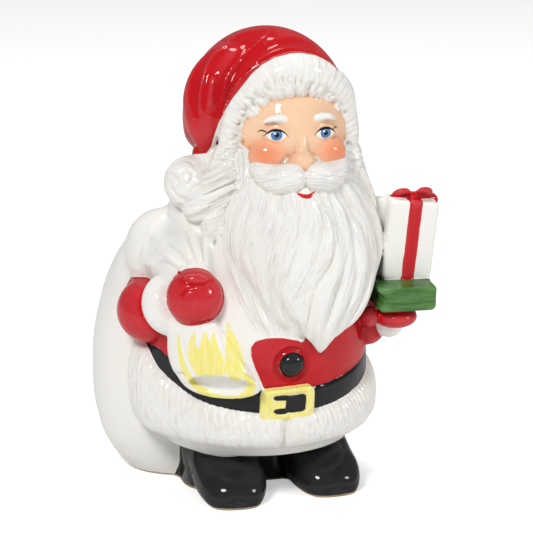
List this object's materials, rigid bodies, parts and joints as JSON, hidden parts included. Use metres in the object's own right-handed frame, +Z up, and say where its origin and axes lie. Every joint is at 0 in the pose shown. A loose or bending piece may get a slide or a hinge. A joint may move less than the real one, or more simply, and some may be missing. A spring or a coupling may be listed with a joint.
{
  "type": "santa coin bank",
  "caption": "Hollow glazed ceramic figure of a traditional Father Christmas with a sack and gifts, with a coin slot behind and a rubber stopper underneath.",
  "frame": {"origin": "middle of the object's box, on the surface that it stands on", "axes": "+Z up, the figure faces -Y, +X to the right of someone who faces it"},
  "size_m": [0.1218, 0.1038, 0.1788],
  "materials": {
    "glaze": "glossy clear glaze over red, black, yellow, green and flesh underglaze paint on white earthenware",
    "stopper_rubber": "matte off-white soft rubber"
  },
  "bodies": {
    "root": {"bank_body": "glaze", "stopper": "stopper_rubber"}
  },
  "joints": []
}
